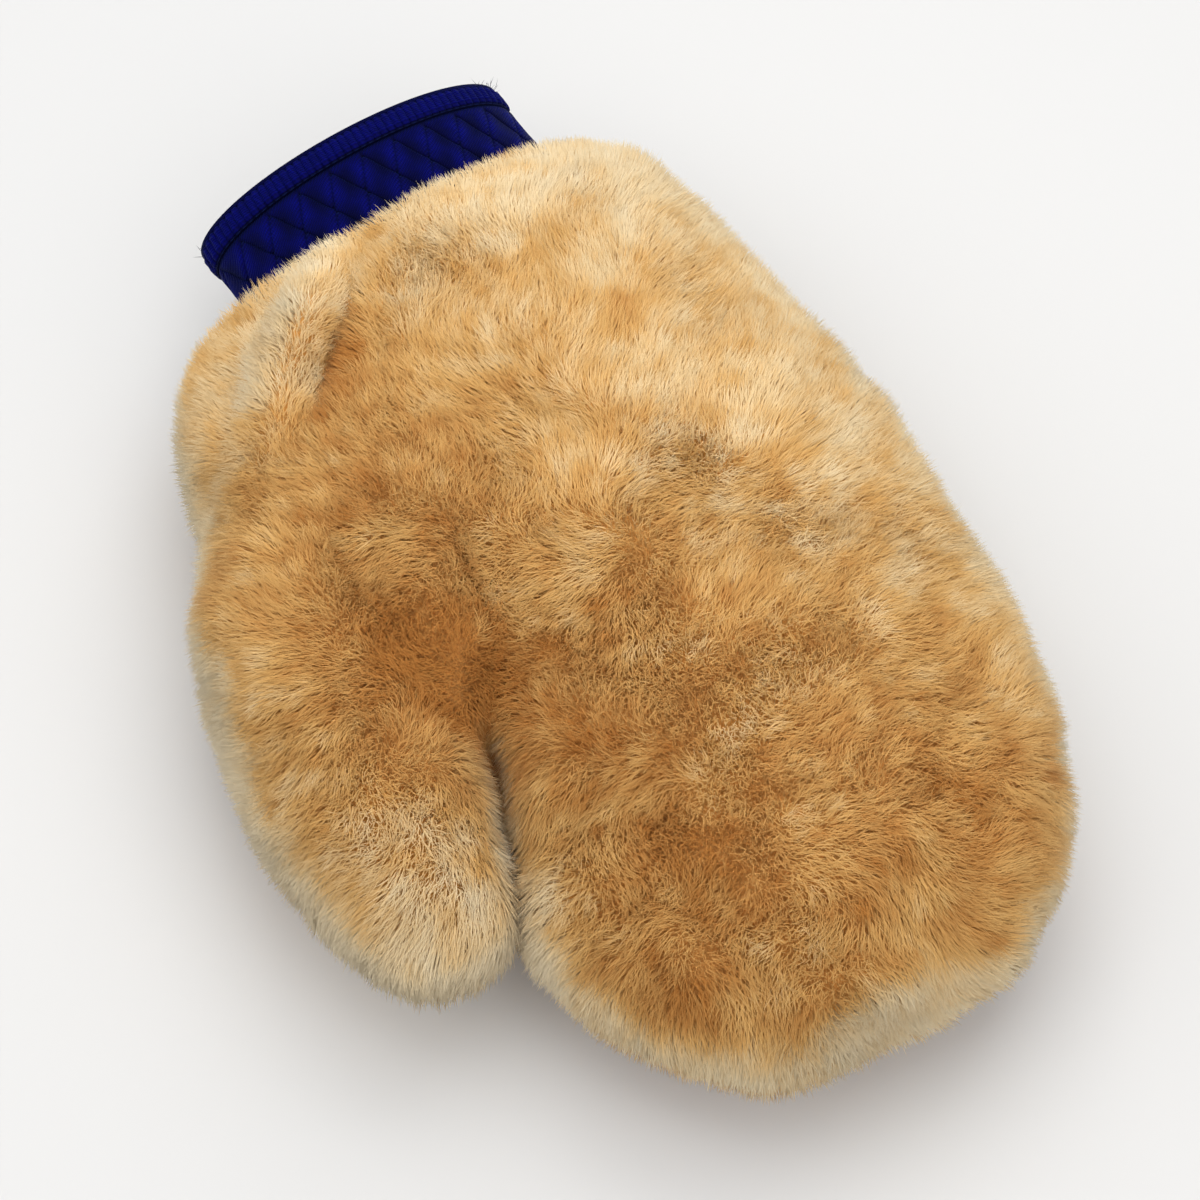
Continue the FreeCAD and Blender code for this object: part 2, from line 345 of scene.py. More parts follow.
def oval_share(spots, x, y, reach_along, reach_across, degrees):
    """1 in the middle of a soft-edged oval seen from above, and 0 far from it."""
    turn = math.radians(degrees)
    right, up = spots[:, 0] / MM - x, spots[:, 1] / MM - y
    along = right * math.cos(turn) + up * math.sin(turn)
    across = up * math.cos(turn) - right * math.sin(turn)
    return np.exp(-((along / reach_along) ** 2) - (across / reach_across) ** 2)


def waves(spots, size, seed, count=14):
    """Smooth noise: a sum of sine waves in mixed directions, about one size apart, from -1 to 1."""
    picks = np.random.default_rng(seed)
    aims = unit(picks.normal(size=(count, 3)))
    rates = 2 * math.pi / (size * picks.uniform(0.7, 1.5, count))
    starts = picks.uniform(0, 2 * math.pi, count)
    total = np.zeros(len(spots))
    for aim, rate, start in zip(aims, rates, starts):
        total += np.sin(spots @ aim * rate + start)
    return total / math.sqrt(count)


def turn_wrist(piece):
    """Shear a piece's wrist end, so that its mouth stands across the cuff's slanted axis."""
    spots = points_of(piece)
    share = ease((spots[:, 1] - TURN_FROM) / TURN_OVER)
    slant = ACROSS_CUFF.y / ACROSS_CUFF.x
    spots[:, 1] += (spots[:, 0] - WRIST.x) * slant * share * TURN_PART
    set_points(piece, spots)
    return spots


spots = turn_wrist(body)
outward = normals_of(body)
on_back = ease((outward[:, 2] + 0.1) / 0.5)
push = np.zeros(len(spots))
for x, y, reach_along, reach_across, height, degrees in PRESSES:
    share = oval_share(spots, x, y, reach_along, reach_across, degrees)
    push += height * MM * share * on_back
push += 0.8 * MM * waves(spots, 42 * MM, 11) + 0.4 * MM * waves(spots, 15 * MM, 12)
spots += outward * push[:, None]
spots[:, 2] = np.maximum(spots[:, 2], FLOOR_GAP)
set_points(body, spots)
print("body lies from", spots.min(axis=0).round(3), "to", spots.max(axis=0).round(3))

# %% [markdown]
# ### The collar
# The wool closes round the cuff. The body is cut off square to the cuff's axis, and the cut edge is
# then extruded ring by ring, as the edge of a bag is drawn in, down to the cuff's own oval.

# %% Open the wrist where the cuff comes out, and draw the skin in to the cuff
CUFF_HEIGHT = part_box("cuff_webbing_back")[1][2] - SEAM_HEIGHT
CUFF_WIDTH = 46.5 * MM
COLLAR_RINGS = 4
COLLAR_DEPTH = 6.0 * MM     # how far the skin dips as it comes in to the cuff
COLLAR_GAP = 0.4 * MM


def on_cuff(angle, along, grow):
    """Places by angle round the cuff's oval, along its axis from the wrist, and out from it."""
    side, lift = np.cos(angle), np.sin(angle)
    out = unit(np.stack([side * CUFF_HEIGHT, lift * CUFF_WIDTH], axis=-1))
    across = side * CUFF_WIDTH + out[..., 0] * grow
    height = lift * CUFF_HEIGHT + out[..., 1] * grow
    places = np.array(WRIST) + across[..., None] * np.array(ACROSS_CUFF)
    places = places + np.asarray(along)[..., None] * np.array(OUT_OF_CUFF)
    places[..., 2] += height
    return places


collar_place = WRIST + OUT_OF_CUFF * COLLAR
edit_all(body)
bpy.ops.mesh.bisect(
    plane_co=collar_place, plane_no=OUT_OF_CUFF, clear_outer=True, use_fill=False
)
cut_edge, drawn_in = None, None
for ring in range(1, COLLAR_RINGS + 1):
    bpy.ops.mesh.extrude_region_move()
    stop_editing()
    chosen = np.empty(len(body.data.vertices), dtype=bool)
    body.data.vertices.foreach_get("select", chosen)
    spots = points_of(body)
    if cut_edge is None:
        cut_edge = spots[chosen]
        away = cut_edge - np.array(WRIST)
        angle = np.arctan2(away[:, 2] / CUFF_HEIGHT, away @ np.array(ACROSS_CUFF) / CUFF_WIDTH)
        drawn_in = on_cuff(angle, np.full(len(angle), COLLAR - COLLAR_DEPTH), COLLAR_GAP)
    share = ring / COLLAR_RINGS
    dip = np.array(OUT_OF_CUFF) * COLLAR_DEPTH * (share - share**2)
    spots[chosen] = cut_edge + (drawn_in - cut_edge) * share + dip
    set_points(body, spots)
    bpy.ops.object.mode_set(mode="EDIT")
bpy.ops.mesh.select_all(action="SELECT")
bpy.ops.mesh.normals_make_consistent(inside=False)
bpy.ops.mesh.select_all(action="DESELECT")
bpy.ops.mesh.select_mode(type="FACE")
stop_editing()
bpy.ops.object.shade_smooth()
print("open body", len(body.data.polygons), "faces")

# %% [markdown]
# ## Which section moves
# The mitt bends at the knuckles and at the thumb's root. The wool is parted where nothing bends
# yet: the fingers' pieces begin a little above the knuckles, and the thumb's pieces a little above
# its root. The hand's pieces are tied to the hand's body; the fingers' and the thumb's pieces are
# only fixed in place.

# %% The sections' borders and bends, seen from above
FINGERS_FROM = -10.0 * MM
CROTCH = Vector((-40 * MM, -40 * MM, 0))
CREASE_SLANT = 0.18         # how fast the crease runs out to the thumb's side
WEB_RIGHT = -31.0 * MM
THUMB_WAY = Vector((-0.20, -1.0, 0)).normalized()
THUMB_FROM = Vector((-66 * MM, -6 * MM, SEAM_HEIGHT))


def section_of(places):
    """0 for the hand, 1 for the fingers, 2 for the thumb."""
    x, y = places[:, 0], places[:, 1]
    crease = CROTCH.x - (CROTCH.y - y) * CREASE_SLANT
    past_crotch = y < CROTCH.y
    fingers = (y < FINGERS_FROM) & np.where(past_crotch, x >= crease, x >= WEB_RIGHT)
    down_thumb = (x - THUMB_FROM.x) * THUMB_WAY.x + (y - THUMB_FROM.y) * THUMB_WAY.y
    thumb = (down_thumb > 0) & np.where(past_crotch, x < crease, x < THUMB_FROM.x + 14 * MM)
    return np.where(fingers, 1, np.where(thumb, 2, 0))


def carried(piece, section):
    """Tie a hand piece to the hand's body; fingers' and thumb's pieces are only fixed in place."""
    if section == 0:
        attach(piece, "hand")
    elif section == 1:
        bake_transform(piece)
    else:
        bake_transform(piece)


def face_places(piece):
    found = np.empty(len(piece.data.polygons) * 3)
    piece.data.polygons.foreach_get("center", found)
    return found.reshape(-1, 3)


# %% [markdown]
# ## Colours of the wool
# A lock is honey brown in its depth and pale cream at its tip: partly the wool's own colour and
# partly painted shade for the depth of the pile. The fleece has slow patches, and many are painted
# light and
# shade: paler round the rim, a painted rim light for light passing through the wool there; paler
# towards the cuff and the little finger's side, partly painted light where the lamps are strongest;
# deeper tan in the middle, partly painted shade; brown in and beside the crease and in the dents,
# painted shade. Each lock carries two numbers for its material: how far along it a point is, and how
# pale the whole lock is. A painted texture could hold this too, but numbers on the mesh stay sharp on
# every lock.

# %% Node helpers and the group that both wool materials share
def link(tree, start, end):
    tree.links.new(start, end)


def ramp_node(tree, stops):
    node = tree.nodes.new("ShaderNodeValToRGB")
    ramp = node.color_ramp
    while len(ramp.elements) < len(stops):
        ramp.elements.new(0.5)
    for element, (place, colour) in zip(ramp.elements, stops):
        element.position = place
        element.color = (*colour, 1)
    return node


def math_node(tree, operation, first, second):
    node = tree.nodes.new("ShaderNodeMath")
    node.operation = operation
    for socket, value in zip(node.inputs, (first, second)):
        if isinstance(value, (int, float)):
            socket.default_value = value
        else:
            link(tree, value, socket)
    return node.outputs["Value"]


def mix_node(tree, factor, first, second, blend="MIX"):
    node = tree.nodes.new("ShaderNodeMix")
    node.data_type = "RGBA"
    node.blend_type = blend
    for name, value in (("Factor", factor), ("A", first), ("B", second)):
        sockets = [s for s in node.inputs if s.name == name and s.enabled]
        if isinstance(value, (int, float)):
            sockets[0].default_value = value
        elif isinstance(value, tuple):
            sockets[0].default_value = (*value, 1)
        else:
            link(tree, value, sockets[0])
    return [s for s in node.outputs if s.enabled][0]


def new_group(name, inputs, outputs):
    """A shader node group with named sockets: (name, kind, value) in and (name, kind) out."""
    group = bpy.data.node_groups.new(name, "ShaderNodeTree")
    for label, kind, value in inputs:
        socket = group.interface.new_socket(label, in_out="INPUT", socket_type=f"NodeSocket{kind}")
        if value is not None:
            socket.default_value = value
    for label, kind in outputs:
        group.interface.new_socket(label, in_out="OUTPUT", socket_type=f"NodeSocket{kind}")
    start = group.nodes.new("NodeGroupInput")
    end = group.nodes.new("NodeGroupOutput")
    return group, start.outputs, end.inputs


def place_group(tree, group, **values):
    node = tree.nodes.new("ShaderNodeGroup")
    node.node_tree = group
    for name, value in values.items():
        socket = node.inputs[name.replace("_", " ").capitalize()]
        if isinstance(value, (int, float, tuple)):
            socket.default_value = value
        else:
            link(tree, value, socket)
    return node.outputs


def new_material(name, roughness, sheen=0.0, sheen_tint=(1, 1, 1), specular=0.3):
    """A material with its Principled shader ready, and its node tree."""
    made = bpy.data.materials.new(name)
    made.use_nodes = True
    shader = made.node_tree.nodes["Principled BSDF"]
    shader.inputs["Roughness"].default_value = roughness
    shader.inputs["Specular IOR Level"].default_value = specular
    shader.inputs["Sheen Weight"].default_value = sheen
    shader.inputs["Sheen Tint"].default_value = (*sheen_tint, 1)
    return made, made.node_tree, shader


def object_coords(tree):
    return tree.nodes.new("ShaderNodeTexCoord").outputs["Object"]


def bump_into(tree, shader, height, distance, strength):
    node = tree.nodes.new("ShaderNodeBump")
    node.inputs["Distance"].default_value = distance
    node.inputs["Strength"].default_value = strength
    link(tree, height, node.inputs["Height"])
    link(tree, node.outputs["Normal"], shader.inputs["Normal"])


uneven, uneven_in, uneven_out = new_group(
    "uneven_colour",
    [("Vector", "Vector", None), ("Colour", "Color", (1, 1, 1, 1)), ("Size", "Float", 100.0),
     ("Depth", "Float", 0.3)],
    [("Colour", "Color"), ("Height", "Float")],
)
uneven_noise = uneven.nodes.new("ShaderNodeTexNoise")
uneven_noise.inputs["Detail"].default_value = 5
link(uneven, uneven_in["Vector"], uneven_noise.inputs["Vector"])
link(uneven, uneven_in["Size"], uneven_noise.inputs["Scale"])
uneven_shift = math_node(uneven, "SUBTRACT", uneven_noise.outputs["Fac"], 0.5)
uneven_share = math_node(uneven, "MULTIPLY", uneven_shift, uneven_in["Depth"])
uneven_value = math_node(uneven, "ADD", math_node(uneven, "MULTIPLY", uneven_share, 2.0), 1.0)
uneven_hue = uneven.nodes.new("ShaderNodeHueSaturation")
link(uneven, uneven_value, uneven_hue.inputs["Value"])
link(uneven, uneven_in["Colour"], uneven_hue.inputs["Color"])
link(uneven, uneven_hue.outputs["Color"], uneven_out["Colour"])
link(uneven, uneven_noise.outputs["Fac"], uneven_out["Height"])

# %% The wool and underwool materials
wool, tree, shader = new_material("sheep_wool", 0.75, 0.25, (1.0, 0.93, 0.80), 0.15)
tone = tree.nodes.new("ShaderNodeAttribute")
tone.attribute_name = "tone"
far_along = tree.nodes.new("ShaderNodeAttribute")
far_along.attribute_name = "along"
# Darker at the root than at the tip: partly the wool's own colour, partly painted shade for the depth
# of the pile.
tips = ramp_node(
    tree,
    [(0.0, (0.58, 0.25, 0.055)), (0.35, (0.83, 0.50, 0.17)), (0.65, (0.96, 0.74, 0.42)),
     (1.0, (1.0, 0.87, 0.62))],
)
link(tree, tone.outputs["Fac"], tips.inputs["Fac"])
roots = ramp_node(
    tree,
    [(0.0, (0.54, 0.21, 0.04)), (0.5, (0.84, 0.49, 0.16)), (1.0, (0.98, 0.81, 0.53))],
)
link(tree, tone.outputs["Fac"], roots.inputs["Fac"])
lock_colour = mix_node(tree, far_along.outputs["Fac"], roots.outputs["Color"], tips.outputs["Color"])
patchy = place_group(
    tree, uneven, vector=object_coords(tree), colour=lock_colour, size=240.0, depth=0.12
)
link(tree, patchy["Colour"], shader.inputs["Base Color"])

underwool, tree, shader = new_material("underwool", 0.95, 0.2, (1.0, 0.9, 0.75), 0.1)
patchy = place_group(
    tree, uneven, vector=object_coords(tree), colour=(0.74, 0.38, 0.11, 1), size=420.0, depth=0.5
)
link(tree, patchy["Colour"], shader.inputs["Base Color"])
bump_into(tree, shader, patchy["Height"], 1.5 * MM, 0.8)
print("materials", [m.name for m in bpy.data.materials if m.users or m in (wool, underwool)])

# %% [markdown]
# ## The underwool
# Each section's underwool is the body's skin of that section with a thin wall. The hand's skin runs
# on a little under the fingers' and the thumb's, pressed down out of sight, so no gap opens when
# they bend.

# %% Cut the body into the three sections' underwool
OVERLAP = 9.0 * MM          # how far the hand's skin runs on under its neighbours
PRESSED_DOWN = 1.2 * MM
UNDERWOOL_WALL = 1.6 * MM
SECTION_NAMES = ("hand", "fingers", "thumb")


def near_section(places, wanted, margin):
    """Places in a section, or within the margin of it."""
    found = section_of(places) == wanted
    if margin:
        for angle in np.linspace(0, 2 * math.pi, 16, endpoint=False):
            step = np.array([math.cos(angle), math.sin(angle), 0]) * margin
            found |= section_of(places + step) == wanted
    return found


def underwool_of(section):
    margin = OVERLAP if section == 0 else 0
    piece = body.copy()
    piece.data = body.data.copy()
    piece.name = f"underwool_{SECTION_NAMES[section]}"
    bpy.context.scene.collection.objects.link(piece)
    only(piece)
    lost = ~near_section(face_places(piece), section, margin)
    piece.data.polygons.foreach_set("select", lost)
    bpy.ops.object.mode_set(mode="EDIT")
    bpy.ops.mesh.select_mode(type="FACE")
    bpy.ops.mesh.delete(type="FACE")
    stop_editing()
    if section == 0:
        places = points_of(piece)
        inside = section_of(places) != 0
        places[inside] -= normals_of(piece)[inside] * PRESSED_DOWN
        set_points(piece, places)
    add_wall(piece, UNDERWOOL_WALL)
    piece.data.materials.append(underwool)
    carried(piece, section)
    print(piece.name, len(piece.data.polygons), "faces")


for section in range(3):
    underwool_of(section)

# %% [markdown]
# ## The wool
# The pile is what the mitt is: locks of fine wool about a centimetre long, dense as a brush, that
# lean and gather into tufts. Hair particles would give it, but they aren't a mesh. So each lock is
# a slim closed spindle of five points and six faces, bent once, and a quarter of a million of them
# stand on the body. They are grown with arrays, since no operator places that many. A lean that
# varies slowly makes the partings, a quicker one the curl, and neighbours' tips are drawn to the
# same spot to make tufts. Fine wool passes light on from lock to lock, so a lock is lit mostly as
# the ground under it is: its normals lean to the ground's, and the pile looks soft and not wiry.

# %% Where the locks stand
LOCK_LENGTH = 9.0 * MM
BACK_DENSITY = 3.5e6        # locks for a square metre
PALM_DENSITY = 1.25e6
MOST_LOCKS = 32500          # in one piece


def triangles_of(piece):
    mesh = piece.data
    mesh.calc_loop_triangles()
    corners = np.empty(len(mesh.loop_triangles) * 3, dtype=np.int64)
    mesh.loop_triangles.foreach_get("vertices", corners)
    return corners.reshape(-1, 3)


def scatter(piece):
    """Random places on a piece with their normals, denser on the back than on the palm."""
    spots, directions = points_of(piece), normals_of(piece)
    corners = triangles_of(piece)
    a, b, c = (spots[corners[:, i]] for i in range(3))
    cross = np.cross(b - a, c - a)
    area = np.linalg.norm(cross, axis=1) / 2
    up = cross[:, 2] / np.maximum(area * 2, 1e-12)
    density = PALM_DENSITY + (BACK_DENSITY - PALM_DENSITY) * ease((up + 0.75) / 0.4)
    wanted = area * density
    counts = np.floor(wanted + dice.random(len(wanted))).astype(int)
    which = np.repeat(np.arange(len(corners)), counts)
    shares = dice.random((len(which), 2))
    folded = shares.sum(axis=1) > 1
    shares[folded] = 1 - shares[folded]
    first, second = shares[:, :1], shares[:, 1:]
    third = 1 - first - second
    roots = a[which] * third + b[which] * first + c[which] * second
    n0, n1, n2 = (directions[corners[which, i]] for i in range(3))
    return roots, unit(n0 * third + n1 * first + n2 * second)


roots, outward = scatter(body)
print("locks", len(roots))

# %% How they lean, gather and end
TUFT = 4.0 * MM             # how wide a tuft is
CLEARANCE = 1.04            # the oval that locks stay outside of, in times the cuff's


def fraction(rows, seed):
    """A repeatable random number from 0 to 1 for each row of whole numbers."""
    value = np.sin(rows @ np.array([127.1, 311.7, 74.7]) + seed * 17.3) * 43758.5453
    return value - np.floor(value)


def tuft_centres(places, size):
    """The nearest of a loose lattice's points to each place."""
    base = np.floor(places / size)
    best = np.full(len(places), 1e9)
    nearest = np.zeros_like(places)
    for dx in (-1, 0, 1):
        for dy in (-1, 0, 1):
            for dz in (-1, 0, 1):
                cell = base + (dx, dy, dz)
                jitter = np.stack([fraction(cell, seed) for seed in (1, 2, 3)], axis=1)
                point = (cell + jitter) * size
                gap = ((point - places) ** 2).sum(axis=1)
                closer = gap < best
                best[closer] = gap[closer]
                nearest[closer] = point[closer]
    return nearest


def slope_field(places, size, seed):
    """A smooth random direction field whose swirls are about one size across."""
    return np.stack([waves(places, size, seed + i, 8) for i in range(3)], axis=1)


def patch(places, x, y, reach_x, reach_y):
    """A soft-edged oval patch seen from above, 1 in its middle."""
    off = ((places[:, 0] / MM - x) / reach_x) ** 2 + ((places[:, 1] / MM - y) / reach_y) ** 2
    return np.exp(-off)


upward = outward[:, 2]
edge = 1 - np.abs(upward)
clumpy = 0.20 + 0.42 * patch(roots, 62, -105, 38, 38) + 0.22 * edge
lean = 0.24 * slope_field(roots, 34 * MM, 21) + 0.09 * slope_field(roots, 11 * MM, 31)
lean += 0.06 * slope_field(roots, 5 * MM, 41) + 0.14 * dice.normal(size=roots.shape)
# Round the rim the pile hangs outwards and a little down, and it falls away from the collar.
seen_middle = np.array([KNUCKLE.x - 16 * MM, 0.0, SEAM_HEIGHT])
radial = unit((roots - seen_middle) * (1, 0.7, 0))
lean += radial * (0.25 + 0.25 * edge)[:, None]
near_collar = ease(1 - np.abs((roots - np.array(WRIST)) @ np.array(OUT_OF_CUFF)) / (16 * MM))
lean += np.array(OUT_OF_CUFF) * (0.3 * near_collar)[:, None]
# The fold's ridge hangs over its hollow, and the thumb's wool is combed towards its tip.
ridge = oval_share(roots, -43, 75, 32, 13, 50)
hollow = oval_share(roots, -33, 68, 23, 5, 52)
lean += ridge[:, None] * (0.38, -0.32, 0)
lean += patch(roots, -70, -78, 30, 26)[:, None] * (-0.15, -0.55, 0)
lean -= outward * (lean * outward).sum(axis=1, keepdims=True)
length = LOCK_LENGTH * (0.88 + 0.22 * dice.random(len(roots)))
length *= 1 + 0.22 * patch(roots, -72, -84, 26, 22) + 0.15 * patch(roots, 0, -140, 60, 24)
length *= 1 - 0.40 * near_collar - 0.35 * hollow
length *= np.where(upward < -0.6, 0.75, 1.0)
foot = roots - outward * 0.8 * MM
way = unit(outward + lean)
middle = foot + (outward * 0.62 + way * 0.38) * length[:, None] * 0.52
tip = foot + way * length[:, None]
centres = tuft_centres(roots, TUFT)
gather = centres - roots
gather -= outward * (gather * outward).sum(axis=1, keepdims=True)
middle += gather * (0.25 * clumpy)[:, None]
tip += gather * (0.85 * clumpy)[:, None]
tip += dice.normal(size=tip.shape) * 0.45 * MM


def clear_of_cuff(places):
    """Lift the points that would run into the cuff out onto its face."""
    away = places - np.array(WRIST)
    across, height = away @ np.array(ACROSS_CUFF), away[:, 2]
    share = np.sqrt((across / CUFF_WIDTH) ** 2 + (height / CUFF_HEIGHT) ** 2)
    past = away @ np.array(OUT_OF_CUFF) > COLLAR - COLLAR_DEPTH
    push = np.where(past & (share < CLEARANCE), CLEARANCE / np.maximum(share, 0.2) - 1, 0)
    lifted = places + (across * push)[:, None] * np.array(ACROSS_CUFF)
    lifted[:, 2] += height * push
    return lifted


foot, middle, tip = clear_of_cuff(foot), clear_of_cuff(middle), clear_of_cuff(tip)
middle[:, 2] = np.maximum(middle[:, 2], 0.7 * MM)
tip[:, 2] = np.maximum(tip[:, 2], 0.35 * MM)

# %% How pale each lock is
# Each is how much paler its locks are, X, Y, reach along X and reach along Y, in mm. Some are painted
# light and shade, as marked.
PALE_PATCHES = [
    # The collar and the shoulder face the lamps: their paler patches are partly paler wool, partly
    # painted light.
    (0.12, -5, 100, 60, 16),        # along the collar
    (0.15, 62, 84, 24, 20),         # the little finger's shoulder
    # The middle of the back and of the fingers is darker: partly deeper tan wool, partly painted
    # shade.
    (-0.10, 30, 46, 50, 30),        # the middle of the back
    (-0.20, -38, 20, 42, 28),       # above the thumb's root
    (-0.12, 8, -40, 44, 36),        # the knuckles
    (-0.07, 60, -60, 30, 50),
    (-0.18, 40, -100, 44, 30),      # the middle of the fingers
    (-0.22, 70, -130, 44, 22),      # the fingertips' outer side
    # The crease, the fingers' side of it and the hollow above it are darker: painted shade.
    (-0.20, -20, -85, 20, 50),      # the fingers' side of the crease
    (-0.15, -42, -50, 9, 30),       # in the crease
    (0.25, -46, -88, 9, 12),        # the lobe at the crease's foot
    (-0.30, -50, -30, 24, 24),      # the hollow above the crease
    (0.20, -72, -84, 24, 20),       # the thumb's tip
    (0.20, -74, -66, 26, 28),       # the thumb
    (0.16, -98, 0, 14, 70),         # the thumb's side of the hand
]
# Paler towards the little finger's side and the cuff, where the lamps are strongest: painted light.
pale = 0.46 + 0.0016 * (roots[:, 0] / MM) + 0.0008 * (roots[:, 1] / MM)
# Paler round the rim above the floor: a painted rim light, for light passing through the fine wool at
# its sides.
pale += 0.50 * ease((edge - 0.35) / 0.6) * (roots[:, 2] > 10 * MM)
for more, x, y, reach_x, reach_y in PALE_PATCHES:
    pale += more * patch(roots, x, y, reach_x, reach_y)
# The fold's ridge is paler, a painted highlight where it catches the light, and its hollow is deep
# brown, painted shade, and so is each other dent, the deeper the darker.
pale += 0.28 * oval_share(roots, -44, 74, 28, 7, 50)
pale -= 0.45 * oval_share(roots, -27, 65, 24, 7, 52)
for x, y, reach_along, reach_across, height, degrees in PRESSES[3:]:
    pale += 0.05 * min(height, 0) * oval_share(roots, x, y, reach_along, reach_across, degrees)
pale += 0.07 * waves(roots, 24 * MM, 51) + 0.08 * waves(roots, 9 * MM, 52)
pale += 0.05 * waves(roots, 4 * MM, 53)
tuft_tone = fraction(np.floor(centres / (0.2 * MM)), 9) - 0.5
pale += 0.15 * tuft_tone + 0.03 * dice.normal(size=len(roots))
pale = np.clip(pale, 0, 0.9)
print("pale from", pale.min().round(2), "to", pale.max().round(2), "mean", pale.mean().round(2))

# %% Make the locks into pieces
# A lock's five points: the foot, a ring of three at its bend, and the tip.
LOCK_FACES = np.array([(0, 2, 1), (0, 3, 2), (0, 1, 3), (1, 2, 4), (2, 3, 4), (3, 1, 4)])
LOCK_ALONG = np.array([0.0, 0.6, 0.6, 0.6, 1.0])
LOCK_SPREAD = np.array([0.5, 0.15, 0.5, 0.85, 0.5])
OWN_LIGHT = 0.30            # how much of a lock's normal is its own, and not its ground's


def spindles(name, ends, thickness, tones, material, ground=None):
    """Closed spindles from (foot, bend, tip) rows, joined in one mesh, each with its own texture
    cell. The wool's locks are lit as the ground they stand on is, so that they melt together."""
    foot, bend, tip = ends
    count = len(foot)
    forward = unit(tip - foot)
    across = unit(np.cross(forward, dice.normal(size=forward.shape)))
    other = np.cross(forward, across)
    turns = np.arange(3) * 2 * math.pi / 3
    rays = [across * math.cos(turn) + other * math.sin(turn) for turn in turns]
    spots = np.stack([foot, *(bend + ray * thickness / 2 for ray in rays), tip], axis=1)
    faces = (LOCK_FACES[None] + 5 * np.arange(count)[:, None, None]).reshape(-1)
    mesh = bpy.data.meshes.new(name)
    mesh.vertices.add(count * 5)
    mesh.vertices.foreach_set("co", spots.reshape(-1))
    mesh.loops.add(count * 18)
    mesh.loops.foreach_set("vertex_index", faces.astype(np.int32))
    mesh.polygons.add(count * 6)
    mesh.polygons.foreach_set("loop_start", np.arange(0, count * 18, 3, dtype=np.int32))
    mesh.polygons.foreach_set("use_smooth", np.ones(count * 6, dtype=bool))
    mesh.update(calc_edges=True)
    for label, values in (("along", np.tile(LOCK_ALONG, count)), ("tone", np.repeat(tones, 5))):
        held = mesh.attributes.new(label, "FLOAT", "POINT")
        held.data.foreach_set("value", values.astype(np.float32))
    side = math.ceil(math.sqrt(count))
    column, line = np.arange(count) % side, np.arange(count) // side
    u = (column[:, None] + LOCK_SPREAD[LOCK_FACES.reshape(-1)][None]) / side
    v = (line[:, None] + 0.1 + 0.8 * LOCK_ALONG[LOCK_FACES.reshape(-1)][None]) / side
    layout = mesh.uv_layers.new(name="OFBake")
    layout.data.foreach_set("uv", np.stack([u, v], axis=2).reshape(-1).astype(np.float32))
    if ground is not None:
        own = np.stack([-forward, *rays, forward], axis=1)
        leant = unit(own * OWN_LIGHT + ground[:, None, :] * (1 - OWN_LIGHT))
        mesh.normals_split_custom_set_from_vertices(leant.reshape(-1, 3))
    mesh.materials.append(material)
    piece = bpy.data.objects.new(name, mesh)
    bpy.context.scene.collection.objects.link(piece)
    return piece


def wool_piece(name, chosen, section, thickness, nodes):
    """One piece of wool: the chosen locks, thinned out if they are too many for a piece."""
    rows = np.flatnonzero(chosen)
    found = len(rows)
    if found > MOST_LOCKS:
        rows = rows[dice.permutation(found)[:MOST_LOCKS]]
    ends = (foot[rows], middle[rows], tip[rows])
    piece = spindles(name, ends, thickness, pale[rows], wool, outward[rows])
    carried(piece, section)
    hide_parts(*nodes)
    print(name, len(rows), "locks of", found)


section = section_of(roots)
back = roots[:, 2] >= SEAM_HEIGHT
BACK_LOCK, PALM_LOCK = 0.28 * MM, 0.55 * MM
hand_back, fingers_back = back & (section == 0), back & (section == 1)
far_left, far_right = roots[:, 0] < -22 * MM, roots[:, 0] > 30 * MM
wool_piece("wool_back_hand_thumb_side", hand_back & far_left, 0, BACK_LOCK, ["back_fleece_hand"])
wool_piece("wool_back_hand_middle", hand_back & ~far_left & ~far_right, 0, BACK_LOCK, [])
wool_piece("wool_back_hand_little_finger_side", hand_back & far_right, 0, BACK_LOCK, [])
right_half = roots[:, 0] > 26 * MM
wool_piece(
    "wool_back_fingers_thumb_side", fingers_back & ~right_half, 1, BACK_LOCK,
    ["back_fleece_fingers"],
)
wool_piece("wool_back_fingers_little_finger_side", fingers_back & right_half, 1, BACK_LOCK, [])
wool_piece("wool_back_thumb", back & (section == 2), 2, BACK_LOCK, ["back_fleece_thumb"])
for number, name in enumerate(SECTION_NAMES):
    wool_piece(
        f"wool_palm_{name}", ~back & (section == number), number, PALM_LOCK,
        [f"palm_fleece_{name}"],
    )
bpy.data.objects.remove(body)

# %% [markdown]
# ## The suede inside
# The hides' inner side lines the hollow for the hand. It is seen only through the cuff, but it is
# what the hand feels, so it is made whole: a sleeve that narrows to the fingertips, and a smaller
# one for the thumb. Each is a ball drawn out like the body's, much flatter, opened at its mouth and
# given the hide's thickness.

# %% The linings' sections in mm, and their suede
HIDE_DEPTH = 10.0 * MM      # from the underwool to the hide
HIDE_THICK = 1.5 * MM
suede, tree, shader = new_material("suede", 0.95, 0.4, (1.0, 0.95, 0.85), 0.1)
patchy = place_group(
    tree, uneven, vector=object_coords(tree), colour=(0.66, 0.50, 0.33, 1), size=900.0, depth=0.35
)
link(tree, patchy["Colour"], shader.inputs["Base Color"])
bump_into(tree, shader, patchy["Height"], 0.4 * MM, 0.7)


